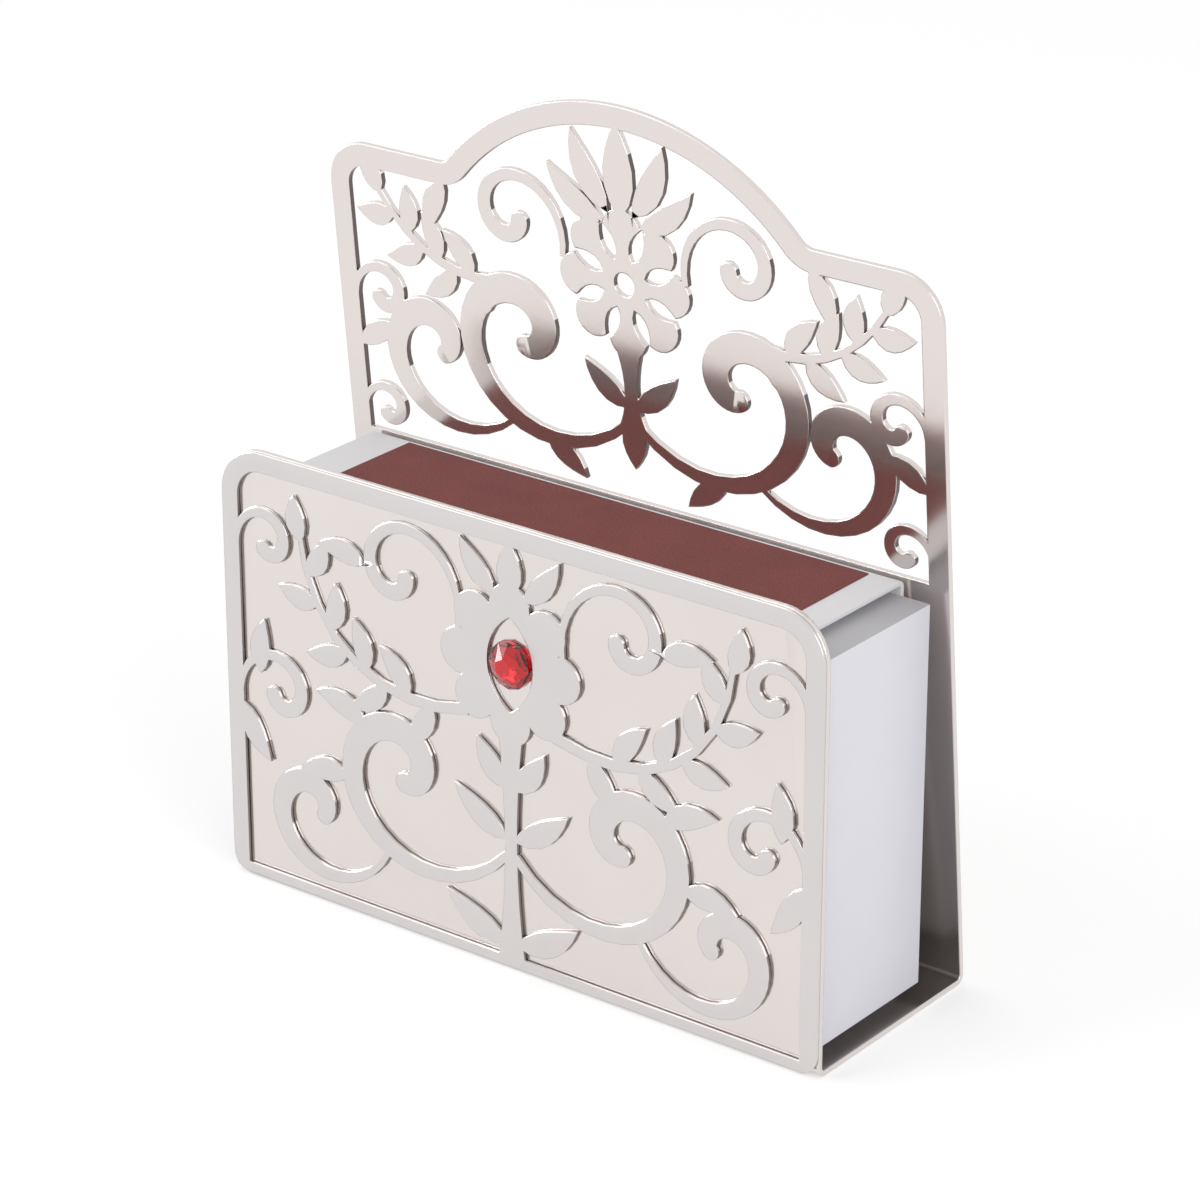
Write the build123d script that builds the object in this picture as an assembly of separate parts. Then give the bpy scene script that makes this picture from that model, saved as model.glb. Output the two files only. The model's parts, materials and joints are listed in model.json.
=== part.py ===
# Matchbox holder of pierced sheet steel, holding a small matchbox that stands on its long narrow side.
# Millimetres, +Z up, the low front panel faces -Y. The origin is at the bottom centre of the whole object.
import os
from math import atan2, cos, degrees, hypot, radians, sin, tan

from build123d import *

# Folded sheet: low front panel, floor and tall back plate, bent from one blank
holder_width = 62.0
sheet = 0.5
bend_radius = 0.4
front_height = 40.0
front_corner_radius = 4.25
shoulder_height = 63.6
back_corner_radius = 4.0
arch_rise = 8.5
arch_radius = 23.7
notch_radius = 1.6
back_border = 2.0
lean = 5.7
foot_height = 3.2

# Overlay: a thinner pierced sheet bonded to the front panel, its lower border rolled over the fold
overlay_sheet = 0.3
overlay_border = 1.75
overlay_foot_border = 0.4
overlay_foot_radius = 2.2
overlay_roll = 38.0
film = 0.06
film_margin = 0.25

# Round faceted stone in the middle of the overlay
stone_radius = 2.1
stone_table_radius = 1.15
stone_height = 1.5
stone_girdle = 0.45
stone_facets = 8
stone_seat_width = 4.7
stone_seat_height = 8.4
stone_bond_radius = 1.8

# Matchbox sleeve
sleeve_length = 55.0
sleeve_depth = 15.3
sleeve_height = 36.0
card = 0.45
sleeve_edge_radius = 0.7
sleeve_offset = -0.7
front_gap = 0.9
back_gap = 0.15
floor_gap = 0.05
lap_margin = 0.9

# Striking strips on the two narrow long sides of the sleeve
strip = 0.12
strip_end_left = 4.4
strip_end_right = 2.8
strip_side = 1.0

# Tray, pushed a little way out of the sleeve
tray_length = 54.6
tray_side_gap = 0.3
tray_floor_gap = 0.1
tray_top_gap = 0.7
tray_out = 3.0
tray_end_layers = 2

# Matches, lying in columns on the tray's lower side wall
match_length = 46.0
match_thickness = 1.6
head_diameter = 2.7
head_length = 3.6
head_cover = 2.0
head_tip_share = 0.75
match_gap = 0.05
match_columns = 4
match_rows = 6
match_stagger = 0.9
stagger_steps = 7
head_sides = 8

# Heights and depths that follow from the sizes above
lean_rise = tan(radians(lean))
box_bottom = sheet + floor_gap
sleeve_bottom = box_bottom + strip
sleeve_top = sleeve_bottom + sleeve_height
box_top = sleeve_top + strip
pocket_depth = front_gap + sleeve_depth + back_gap + (box_top - sheet) * lean_rise
bend_outer = bend_radius + sheet
stone_reach = film + stone_height
fold_to_back = sheet + pocket_depth + sheet / cos(radians(lean)) + sheet * lean_rise
bend_spare = bend_outer * (tan(radians(45 + lean / 2)) - 1)
depth = stone_reach + fold_to_back - bend_spare
panel_y = stone_reach - depth / 2
back_y = panel_y + fold_to_back
pocket_y = panel_y + sheet
overlay_y = panel_y - film
sleeve_y = pocket_y + front_gap
half_width = holder_width / 2
window_foot = box_top / cos(radians(lean))
arch_height = shoulder_height + arch_rise
arch_centre = arch_height - arch_radius
overlay_foot = bend_outer + overlay_foot_border
bend_centre_y = panel_y + bend_outer
sleeve_left = sleeve_offset - sleeve_length / 2
sleeve_right = sleeve_left + sleeve_length
tray_depth = sleeve_depth - 2 * card - 2 * tray_side_gap
tray_height = sleeve_height - 3 * card - tray_floor_gap - tray_top_gap
tray_right = sleeve_right + tray_out
tray_left = tray_right - tray_length
tray_y = sleeve_y + card + tray_side_gap
tray_bottom = sleeve_bottom + 2 * card + tray_floor_gap
tray_wall = tray_end_layers * card

# Fretwork of the two sheets. Places, lengths and widths are shares of the window's half width: x from its
# middle, z up from its foot. Each pattern fills a window that is height_share high, and stretches with it.
# A scroll has start, centre, sweep, widths at start, middle and end, and the radius of its eye.
# A leaf has root, direction, length, breadth and bend. Angles are in degrees.
front_height_share = 1.277
front_scroll_shares = [
    ((0.014, 0.324), (0.396, 0.485), 420, (0.027, 0.088, 0.066), 0.046),
    ((0.452, 0.198), (0.737, 0.259), 370, (0.017, 0.074, 0.058), 0.042),
    ((0.185, 0.985), (0.410, 1.092), -370, (0.020, 0.044, 0.056), 0.040),
    ((1.010, 0.575), (0.850, 0.600), 340, (0.020, 0.046, 0.056), 0.038),
    ((1.010, 1.040), (0.888, 1.070), 320, (0.020, 0.042, 0.052), 0.034),
]
front_leaf_shares = [
    ((0.000, 1.120), 90, 0.175, 0.092, 0.0),
    ((0.050, 1.120), 50, 0.195, 0.074, -0.12),
    ((0.530, 0.585), 18, 0.200, 0.080, 0.15),
    ((0.010, 0.530), 52, 0.180, 0.080, -0.12),
    ((0.010, 0.370), 34, 0.235, 0.080, -0.10),
    ((0.015, 0.040), 27, 0.250, 0.088, -0.14),
    ((0.600, 0.400), -8, 0.190, 0.080, 0.12),
    ((1.005, 0.530), -122, 0.200, 0.080, 0.12),
    ((0.930, 0.640), 96, 0.180, 0.078, -0.12),
    ((0.520, 1.090), 8, 0.180, 0.076, 0.12),
]
front_spray_shares = [(0.155, 0.740), (0.450, 0.650), (0.740, 0.780), (0.770, 1.150)]
front_spray_width_shares = (0.038, 0.030, 0.017)
front_spray_leaf_shares = (0.190, 0.076)
front_spray_leaves = 9
front_stem_shares = [(0.0, 0.720), (0.0, 0.340), (0.0, -0.010)]
front_stem_width_shares = (0.089, 0.044, 0.096)
front_flower_share = (0.0, 0.918)
front_flower_radius_share = 0.248

back_height_share = 0.845
back_scroll_shares = [
    ((0.014, 0.245), (0.380, 0.448), 420, (0.027, 0.094, 0.066), 0.046),
    ((0.440, 0.154), (0.715, 0.335), 370, (0.017, 0.086, 0.060), 0.042),
    ((0.216, 0.712), (0.405, 0.800), -370, (0.020, 0.046, 0.058), 0.040),
    ((1.010, 0.085), (0.920, 0.080), 300, (0.020, 0.038, 0.046), 0.028),
    ((1.010, 0.435), (0.900, 0.455), 330, (0.020, 0.042, 0.050), 0.032),
]
back_leaf_shares = [
    ((0.041, 0.880), 63, 0.262, 0.087, -0.14),
    ((0.060, 0.845), 38, 0.245, 0.079, -0.16),
    ((0.000, 0.260), -90, 0.160, 0.090, 0.0),
    ((0.010, 0.290), 40, 0.200, 0.076, -0.10),
    ((1.012, 0.270), 152, 0.190, 0.074, -0.12),
    ((0.640, 0.860), -68, 0.190, 0.078, 0.12),
    ((0.320, 0.125), 215, 0.170, 0.074, -0.10),
]
back_crown_leaf_shares = (0.870, 0.110, 0.020)
back_spray_shares = [(0.400, 0.600), (0.600, 0.540), (0.780, 0.600), (0.900, 0.800)]
back_spray_width_shares = (0.036, 0.028, 0.017)
back_spray_leaf_shares = (0.180, 0.074)
back_spray_leaves = 8
back_stem_shares = [(0.0, 0.460), (0.0, 0.320), (0.0, 0.220)]
back_stem_width_shares = (0.083, 0.048, 0.110)
back_flower_share = (0.0, 0.672)
back_flower_radius_share = 0.228
back_piercing_shares = (0.078, 0.118, 0.050)
back_eye_share = 0.036

petals = 8
petal_share = 0.29
leaf_pull_shares = [(0.30, 0.85), (0.75, 0.40)]
leaf_bow_share = 0.67

# Chords that the round strokes are cut with
chord_turn = 11.0
cap_chords = 8
leaf_chords = 6
stem_chords = 8
disc_chords = 24


# Strokes of the fretwork, each a closed loop of points

def spiral_line(start, centre, sweep, eye):
    """Spiral that winds from its start in to an eye of the given radius about its centre."""
    reach = hypot(start[0] - centre[0], start[1] - centre[1])
    heading = degrees(atan2(start[1] - centre[1], start[0] - centre[0]))

    def line(t):
        radius = reach * (eye / reach) ** t
        angle = radians(heading + sweep * t)
        return centre[0] + radius * cos(angle), centre[1] + radius * sin(angle)

    return line


def curve_line(points):
    """Smooth curve that its points pull towards them, from the first to the last."""
    def line(t):
        rest = points
        while len(rest) > 1:
            rest = [(a[0] + (b[0] - a[0]) * t, a[1] + (b[1] - a[1]) * t) for a, b in zip(rest, rest[1:])]
        return rest[0]

    return line


def swell(first, middle, last):
    """Width law of a stroke, given at its start, middle and end."""
    pull = 2 * middle - (first + last) / 2

    def width(t):
        return first * (1 - t) ** 2 + 2 * pull * t * (1 - t) + last * t ** 2

    return width


def heading_at(line, t):
    """Unit direction of a line at the place t."""
    step_share = 0.001
    x0, z0 = line(max(t - step_share, 0))
    x1, z1 = line(min(t + step_share, 1))
    run = hypot(x1 - x0, z1 - z0)
    return (x1 - x0) / run, (z1 - z0) / run


def beside(line, width, t, side):
    """Point on the left (1) or right (-1) edge of a stroke at the place t."""
    along = heading_at(line, t)
    x, z = line(t)
    reach = side * width(t) / 2
    return x - along[1] * reach, z + along[0] * reach


def ring_points(centre, radius, first, turn, count):
    """Points about a centre, from a first direction on by equal turns, both in degrees."""
    angles = [radians(first + turn * i) for i in range(count)]
    return [(centre[0] + radius * cos(angle), centre[1] + radius * sin(angle)) for angle in angles]


def stroke(line, width, chords):
    """Band along a line, with square ends."""
    left, right = [[beside(line, width, i / chords, side) for i in range(chords + 1)] for side in (1, -1)]
    return left + right[::-1]


def scroll(start, centre, sweep, widths, eye):
    """Spiral stroke with a round inner end."""
    line, width = spiral_line(start, centre, sweep, eye), swell(*widths)
    loop = stroke(line, width, round(abs(sweep) / chord_turn))
    half = len(loop) // 2
    along = heading_at(line, 1)
    turn = -180 / cap_chords
    first = degrees(atan2(along[0], -along[1])) + turn
    cap = ring_points(line(1), width(1) / 2, first, turn, cap_chords - 1)
    return loop[:half] + cap + loop[half:]


def leaf(root, angle, length, breadth, bend):
    """Pointed leaf from its root, bowed to its left by the share bend of its length."""
    along = (cos(radians(angle)), sin(radians(angle)))
    bow = leaf_bow_share * bend * length

    def spot(run, out):
        return root[0] + run * along[0] - out * along[1], root[1] + run * along[1] + out * along[0]

    sides = []
    for side in (1, -1):
        pulls = [spot(run * length, bow + side * out * breadth) for run, out in leaf_pull_shares]
        line = curve_line([root] + pulls + [spot(length, 0)])
        sides.append([line(i / leaf_chords) for i in range(leaf_chords + 1)])
    return sides[0] + sides[1][-2:0:-1]


def disc(centre, radius):
    return ring_points(centre, radius, 0, 360 / disc_chords, disc_chords)


def spray(points, widths, leaves, leaf_size):
    """Curved stem with leaves set by turns on its two sides and one at its tip."""
    line = curve_line(points)
    length, breadth = leaf_size
    first_share, last_share, bend_share, shrink_share = 0.14, 0.95, 0.12, 0.25
    spread = 48
    loops = [stroke(line, swell(*widths), stem_chords)]
    for i in range(leaves):
        t = first_share + (last_share - first_share) * i / (leaves - 1)
        along = heading_at(line, t)
        side = 1 if i % 2 else -1
        turn = side * spread if i < leaves - 1 else 0
        angle = degrees(atan2(along[1], along[0])) + turn
        loops.append(leaf(line(t), angle, length * (1 - shrink_share * t), breadth, side * bend_share))
    return loops


def flower(centre, radius):
    """Round petals about a solid middle."""
    middle = radius * (1 - petal_share)
    spots = ring_points(centre, middle, 90, 360 / petals, petals)
    return [disc(centre, middle)] + [disc(spot, radius * petal_share) for spot in spots]


def mirrored(loop):
    return [(-x, z) for x, z in loop]


def front_pattern():
    """Strokes of the overlay: a right half, its mirror image, the stem and the flower."""
    half = [scroll(*shares) for shares in front_scroll_shares]
    half += [leaf(*shares) for shares in front_leaf_shares]
    half += spray(front_spray_shares, front_spray_width_shares, front_spray_leaves, front_spray_leaf_shares)
    stem = stroke(curve_line(front_stem_shares), swell(*front_stem_width_shares), stem_chords)
    middle = [stem] + flower(front_flower_share, front_flower_radius_share)
    return half + [mirrored(loop) for loop in half] + middle


def back_pattern():
    """Strokes of the back plate, with a middle leaf that grows up to the arch."""
    half = [scroll(*shares) for shares in back_scroll_shares]
    half += [leaf(*shares) for shares in back_leaf_shares]
    half += spray(back_spray_shares, back_spray_width_shares, back_spray_leaves, back_spray_leaf_shares)
    stem = stroke(curve_line(back_stem_shares), swell(*back_stem_width_shares), stem_chords)
    root, breadth, bite = back_crown_leaf_shares
    crown = back_height_share * (arch_height - back_border - window_foot) / back_window_height()
    middle = [stem, leaf((0, root), 90, crown + bite - root, breadth, 0)]
    middle += flower(back_flower_share, back_flower_radius_share)
    return half + [mirrored(loop) for loop in half] + middle


def back_piercings():
    """Drop-shaped holes between the petals of the back plate's flower, and its round eye."""
    reach, length, breadth = back_piercing_shares
    turn = 360 / petals
    roots = ring_points(back_flower_share, reach, turn / 2, turn, petals)
    drops = [leaf(root, turn * (i + 1 / 2), length, breadth, 0) for i, root in enumerate(roots)]
    return [disc(back_flower_share, back_eye_share)] + drops


# Windows, outlines and the pierced faces between them, drawn flat with x across and y up the sheet

def back_window_height():
    return shoulder_height - back_border - window_foot


def back_place(x, z):
    """Place in the back plate's window of a pair of shares."""
    return x * (half_width - back_border), window_foot + z / back_height_share * back_window_height()


def front_place(x, z):
    """Place in the overlay's window of a pair of shares."""
    height = front_height - overlay_border - overlay_foot
    return x * (half_width - overlay_border), overlay_foot + z / front_height_share * height


def drawn(place, loop):
    """Flat face inside a loop, set in its window."""
    return make_face(Polyline(*[place(*point) for point in loop], close=True)).face()


def front_outline(inset, foot, foot_radius):
    """Front panel's outline, its sides drawn in by the inset."""
    low, high = foot, front_height - inset
    width = holder_width - 2 * inset
    face = Pos(0, (low + high) / 2) * Rectangle(width, high - low)
    face = fillet(face.vertices().sort_by(Axis.Y)[-2:], front_corner_radius - inset)
    if foot_radius > 0:
        face = fillet(face.vertices().sort_by(Axis.Y)[:2], foot_radius)
    return face


def back_outline(inset, foot):
    """Back plate's outline: square shoulders with round corners, and an arch between them."""
    top = shoulder_height - inset
    width = holder_width - 2 * inset
    slab = Pos(0, (foot + top) / 2) * Rectangle(width, top - foot)
    slab = fillet(slab.vertices().sort_by(Axis.Y)[-2:], back_corner_radius - inset)
    round_top = Pos(0, arch_centre) * Circle(arch_radius - inset)
    room = Pos(0, foot + arch_height) * Rectangle(width, 2 * arch_height)
    face = slab + (round_top & room)
    notch_x = ((arch_radius - inset) ** 2 - (top - arch_centre) ** 2) ** 0.5
    notches = [v for v in face.vertices() if abs(abs(v.X) - notch_x) < sheet and abs(v.Y - top) < sheet]
    return fillet(notches, notch_radius + inset)


def pointed_oval(width, height):
    """Upright opening with a point at each end, between two arcs."""
    radius = (width ** 2 + height ** 2) / (4 * width)
    return (Pos(radius - width / 2, 0) * Circle(radius)) & (Pos(width / 2 - radius, 0) * Circle(radius))


def joined(first, others):
    """Union of flat faces, which has to come out as one piece."""
    faces = Sketch() + first.fuse(*others)
    if len(faces.faces()) != 1:
        raise ValueError("a stroke of the fretwork hangs free")
    return faces.faces()[0]


def pierced(outline, window, strokes, holes):
    """Sheet face with its window opened around the strokes, and holes cut through them."""
    ring = outline - window
    sheet_face = Sketch() + joined(ring.faces()[0], strokes)
    for hole in holes:
        sheet_face -= hole
    return sheet_face & outline


# The pieces

def folded_channel():
    """Front panel, floor and bent foot of the back plate, as one folded sheet."""
    along = (-sin(radians(lean)), cos(radians(lean)))
    inward = (-cos(radians(lean)), -sin(radians(lean)))
    top_out = (back_y + foot_height * along[0], foot_height * along[1])
    top_in = (top_out[0] + sheet * inward[0], top_out[1] + sheet * inward[1])
    corner_in = (pocket_y + pocket_depth, sheet)
    points = [(panel_y, front_height), (panel_y, 0), (back_y, 0), top_out, top_in, corner_in,
              (pocket_y, sheet), (pocket_y, front_height)]
    section = make_face(Polyline(*points, close=True))
    outer = [v for v in section.vertices() if v.Y < sheet / 2]
    section = fillet(outer, bend_outer)
    inner = [v for v in section.vertices() if abs(v.Y - sheet) < floor_gap and pocket_y - sheet / 2 < v.X]
    inner = [v for v in inner if v.X < corner_in[0] + sheet / 2]
    section = fillet(inner, bend_radius)
    solid = extrude(Plane.YZ * section, half_width, both=True)
    corners = [e for e in solid.edges().filter_by(Axis.Y)
               if abs(e.center().Z - front_height) < sheet and e.length < 2 * sheet]
    return fillet(corners, front_corner_radius)


def back_plate():
    """Upright part of the folded sheet, pierced above the box and leaning over it."""
    strokes = [drawn(back_place, loop) for loop in back_pattern()]
    holes = [drawn(back_place, loop) for loop in back_piercings()]
    face = pierced(back_outline(0, foot_height), back_outline(back_border, window_foot), strokes, holes)
    flat = extrude(Plane.XZ * face, sheet)
    return Pos(0, back_y, 0) * Rot(X=lean) * flat


def overlay_lip():
    """Lower border of the overlay, rolled over the fold behind it."""
    outer = bend_outer + film + overlay_sheet
    inner = bend_outer + film
    rim = []
    for radius in (outer, inner):
        for turn in (0, overlay_roll / 2, overlay_roll):
            angle = radians(turn)
            rim.append((bend_centre_y - radius * cos(angle), bend_outer - radius * sin(angle)))
    edges = [ThreePointArc(*rim[:3]), Line(rim[2], rim[5]), ThreePointArc(*rim[3:]), Line(rim[3], rim[0])]
    return extrude(Plane.YZ * make_face(edges), half_width, both=True)


def front_overlay():
    """Pierced sheet over the front panel, rounded at its four corners."""
    strokes = [drawn(front_place, loop) for loop in front_pattern()]
    seat = Pos(*front_place(*front_flower_share)) * pointed_oval(stone_seat_width, stone_seat_height)
    window = front_outline(overlay_border, overlay_foot, 0)
    face = pierced(front_outline(0, bend_outer, 0), window, strokes, [seat])
    flat = Pos(0, overlay_y, 0) * extrude(Plane.XZ * face, overlay_sheet)
    rounding = extrude(Plane.XZ * front_outline(0, 0, overlay_foot_radius), depth, both=True)
    return (flat + overlay_lip()) & rounding


def overlay_bond():
    """Bonding film under the overlay's border and under the middle flower."""
    ring = front_outline(film_margin, bend_outer, 0)
    ring -= front_outline(overlay_border - film_margin, overlay_foot - film_margin / 2, 0)
    middle = front_flower_radius_share * (1 - petal_share) * (half_width - overlay_border)
    pad = RegularPolygon(middle, petals)
    pad -= pointed_oval(stone_seat_width + 2 * film_margin, stone_seat_height + 2 * film_margin)
    pad = Pos(*front_place(*front_flower_share)) * pad
    return Pos(0, panel_y, 0) * extrude(Plane.XZ * Sketch(children=[ring, pad]), film)


def stone_place():
    """Middle of the stone's flat back, facing forward."""
    x, z = front_place(*front_flower_share)
    return Pos(x, overlay_y, z) * Rot(X=90)


def gem_outline(sides):
    """Regular outline that touches the stone's round girdle, with a flat towards +Y."""
    return Rot(Z=90 - 180 / sides) * RegularPolygon(stone_radius, sides, major_radius=False)


def stone():
    """Round brilliant with a flat back: girdle, two sets of crown facets and a table."""
    crown = stone_height - stone_girdle
    upper_slope_share = 0.6
    slope = degrees(atan2(stone_radius - stone_table_radius, crown))
    girdle = extrude(gem_outline(2 * stone_facets), stone_girdle)
    lift = Pos(0, 0, stone_girdle)
    main_facets = extrude(lift * gem_outline(stone_facets), crown, taper=slope)
    upper_facets = extrude(lift * Rot(Z=180 / stone_facets) * gem_outline(stone_facets), crown,
                           taper=slope * upper_slope_share)
    return stone_place() * (girdle + (main_facets & upper_facets))


def stone_bond():
    """Dab of cement under the stone."""
    x, z = front_place(*front_flower_share)
    return Pos(x, panel_y, z) * Rot(X=90) * extrude(Circle(stone_bond_radius), film)


def block(low, high):
    """Solid box between two corners."""
    size = [b - a for a, b in zip(low, high)]
    middle = [(a + b) / 2 for a, b in zip(low, high)]
    return Pos(*middle) * Box(*size)


def sleeve():
    """Card sleeve, open at both ends, with its glued lap inside the lower narrow side."""
    outer = block((sleeve_left, sleeve_y, sleeve_bottom), (sleeve_right, sleeve_y + sleeve_depth, sleeve_top))
    outer = fillet(outer.edges().filter_by(Axis.X), sleeve_edge_radius)
    hollow = block((sleeve_left - card, sleeve_y + card, sleeve_bottom + card),
                   (sleeve_right + card, sleeve_y + sleeve_depth - card, sleeve_top - card))
    hollow = fillet(hollow.edges().filter_by(Axis.X), sleeve_edge_radius - card)
    lap = block((sleeve_left, sleeve_y + lap_margin, sleeve_bottom + card),
                (sleeve_right, sleeve_y + sleeve_depth - lap_margin, sleeve_bottom + 2 * card))
    return outer - hollow + lap


def striker(bottom):
    """Striking strip on a narrow long side of the sleeve."""
    return block((sleeve_left + strip_end_left, sleeve_y + strip_side, bottom),
                 (sleeve_right - strip_end_right, sleeve_y + sleeve_depth - strip_side, bottom + strip))


def tray():
    """Card tray, open to the front, with doubled end walls."""
    back, top = tray_y + tray_depth, tray_bottom + tray_height
    outer = block((tray_left, tray_y, tray_bottom), (tray_right, back, top))
    hollow = block((tray_left + tray_wall, tray_y - card, tray_bottom + card),
                   (tray_right - tray_wall, back - card, top - card))
    return outer - hollow


def match_places():
    """Head end of every match, as x and the middle of its stick."""
    pitch = head_diameter + match_gap
    spare = tray_length - 2 * tray_wall - match_length - head_length + head_cover
    places = []
    for column in range(match_columns):
        for row in range(match_rows):
            stagger_share = (3 * column + 5 * row) % stagger_steps / stagger_steps
            x = tray_right - tray_wall - spare / 2 + match_stagger * (stagger_share - 1 / 2)
            y = tray_y + tray_depth - card - pitch * (column + 1 / 2)
            z = tray_bottom + card + pitch * (row + 1 / 2)
            places.append((x, y, z))
    return places


def match_stick(x, y, z):
    """One square stick, whose end is inside its head."""
    half = match_thickness / 2
    end = x - head_length + head_cover
    return block((end - match_length, y - half, z - half), (end, y + half, z + half))


def match_head(x, y, z):
    """One head, narrowed to its tip, with the socket that its stick fills."""
    slope = degrees(atan2(head_diameter * (1 - head_tip_share) / 2, head_length))
    ring = Rot(Z=180 / head_sides) * RegularPolygon(head_diameter / 2, head_sides, major_radius=False)
    body = Pos(x - head_length, y, z) * Rot(Y=90) * extrude(ring, head_length, taper=slope)
    return body - match_stick(x, y, z)


def match_sticks():
    return Compound(children=[match_stick(*place) for place in match_places()])


def match_heads():
    return Compound(children=[match_head(*place) for place in match_places()])


part_nodes = {
    "folded_channel": folded_channel,
    "back_plate": back_plate,
    "front_overlay": front_overlay,
    "overlay_bond": overlay_bond,
    "stone": stone,
    "stone_bond": stone_bond,
    "sleeve": sleeve,
    "striker_top": lambda: striker(sleeve_top),
    "striker_bottom": lambda: striker(sleeve_bottom - strip),
    "tray": tray,
    "match_sticks": match_sticks,
    "match_heads": match_heads,
}


def main():
    os.makedirs("parts", exist_ok=True)
    for name, make in part_nodes.items():
        export_step(make(), "parts/" + name + ".step")


main()
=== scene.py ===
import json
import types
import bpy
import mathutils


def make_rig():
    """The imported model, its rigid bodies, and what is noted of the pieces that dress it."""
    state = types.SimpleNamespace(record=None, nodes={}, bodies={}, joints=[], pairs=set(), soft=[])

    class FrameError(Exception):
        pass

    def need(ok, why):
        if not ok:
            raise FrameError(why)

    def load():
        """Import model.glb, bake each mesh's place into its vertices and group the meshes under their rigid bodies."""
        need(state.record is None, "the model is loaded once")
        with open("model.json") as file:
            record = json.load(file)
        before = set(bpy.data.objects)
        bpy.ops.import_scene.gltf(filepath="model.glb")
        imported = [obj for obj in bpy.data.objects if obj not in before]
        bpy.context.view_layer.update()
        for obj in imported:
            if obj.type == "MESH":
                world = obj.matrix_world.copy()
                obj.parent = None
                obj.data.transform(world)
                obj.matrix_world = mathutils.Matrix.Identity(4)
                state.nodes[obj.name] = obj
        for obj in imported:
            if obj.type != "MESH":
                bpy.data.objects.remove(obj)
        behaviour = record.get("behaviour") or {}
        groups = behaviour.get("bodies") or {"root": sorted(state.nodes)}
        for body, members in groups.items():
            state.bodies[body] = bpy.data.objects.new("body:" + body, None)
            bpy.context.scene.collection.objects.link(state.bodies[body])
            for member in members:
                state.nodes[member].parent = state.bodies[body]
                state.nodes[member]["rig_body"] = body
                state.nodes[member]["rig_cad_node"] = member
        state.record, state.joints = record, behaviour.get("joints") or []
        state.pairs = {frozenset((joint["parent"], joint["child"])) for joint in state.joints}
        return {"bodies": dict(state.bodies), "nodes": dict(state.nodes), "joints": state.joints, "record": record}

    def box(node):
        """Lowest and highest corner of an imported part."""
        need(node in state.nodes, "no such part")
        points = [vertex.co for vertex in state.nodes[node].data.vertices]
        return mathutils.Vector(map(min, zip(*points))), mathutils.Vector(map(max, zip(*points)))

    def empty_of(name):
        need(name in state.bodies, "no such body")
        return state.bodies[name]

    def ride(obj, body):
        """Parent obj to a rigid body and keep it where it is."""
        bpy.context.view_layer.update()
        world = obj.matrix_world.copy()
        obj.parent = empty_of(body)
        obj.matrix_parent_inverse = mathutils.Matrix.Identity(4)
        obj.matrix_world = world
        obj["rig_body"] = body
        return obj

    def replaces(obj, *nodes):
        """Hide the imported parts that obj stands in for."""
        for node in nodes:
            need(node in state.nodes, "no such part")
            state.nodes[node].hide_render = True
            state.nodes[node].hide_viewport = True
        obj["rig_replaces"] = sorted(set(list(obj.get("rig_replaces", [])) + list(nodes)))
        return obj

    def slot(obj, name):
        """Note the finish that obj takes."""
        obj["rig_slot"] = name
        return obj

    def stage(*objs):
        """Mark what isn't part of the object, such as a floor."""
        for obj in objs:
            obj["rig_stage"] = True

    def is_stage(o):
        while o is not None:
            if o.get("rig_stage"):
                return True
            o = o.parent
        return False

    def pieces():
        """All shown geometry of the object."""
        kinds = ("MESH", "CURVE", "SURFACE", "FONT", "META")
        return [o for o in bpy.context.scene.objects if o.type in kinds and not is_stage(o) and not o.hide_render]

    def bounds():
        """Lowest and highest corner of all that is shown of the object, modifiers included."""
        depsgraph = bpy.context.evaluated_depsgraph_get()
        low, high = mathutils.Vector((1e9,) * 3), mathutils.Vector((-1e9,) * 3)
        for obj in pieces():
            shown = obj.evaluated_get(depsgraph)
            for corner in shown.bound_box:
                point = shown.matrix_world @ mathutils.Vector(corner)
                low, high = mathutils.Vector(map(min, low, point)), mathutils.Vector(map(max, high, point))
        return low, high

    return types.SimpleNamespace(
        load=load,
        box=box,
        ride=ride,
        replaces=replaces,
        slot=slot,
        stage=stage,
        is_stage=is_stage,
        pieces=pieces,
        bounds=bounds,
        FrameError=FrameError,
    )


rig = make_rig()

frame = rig.load()

import json
from math import cos, pi, radians, sin

import bmesh
import bpy
from bpy.props import FloatProperty, FloatVectorProperty, IntProperty, PointerProperty
from mathutils import Vector, noise
from mathutils.bvhtree import BVHTree

bl_info = {
    "name": "Matchbox holder",
    "version": (1, 0, 0),
    "blender": (4, 5, 0),
    "location": "View3D > Sidebar > Matchbox holder",
    "description": "Dresses a matchbox holder of pierced steel sheet and the small matchbox in it",
    "category": "Object",
}

mm = 0.001
cad_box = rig.bounds()
overlay_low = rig.box("front_overlay")[0]
stone_low, stone_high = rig.box("stone")
stone_middle = (stone_low + stone_high) / 2
stone_radius = (stone_high.x - stone_low.x) / 2
stone_height = stone_high.y - stone_low.y
sleeve_low, sleeve_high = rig.box("sleeve")
tray_low, tray_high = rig.box("tray")

white = (1.0, 1.0, 1.0, 1.0)
mix_a, mix_b, mixed = 6, 7, 2           # the Mix node's two colours in and its colour out
worn_edge_samples = 6                   # rays with which the Bevel node feels for an edge
sharp_angle = radians(30)               # two faces that meet at more than this have an edge
weld_distance = 0.002 * mm              # between corners that the CAD mesh has twice
across_share = 0.3                      # a face is edge-on to a way that its normal has less of
along_share = 0.9                       # a face looks a way that its normal has more of than this


# Colours and node trees

def linear(code):
    """sRGB hex colour as linear red, green, blue and alpha."""
    shares = [int(code[i:i + 2], 16) / 255 for i in (0, 2, 4)]
    return tuple(c / 12.92 if c <= 0.04045 else ((c + 0.055) / 1.055) ** 2.4
                 for c in shares) + (1.0,)


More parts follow.
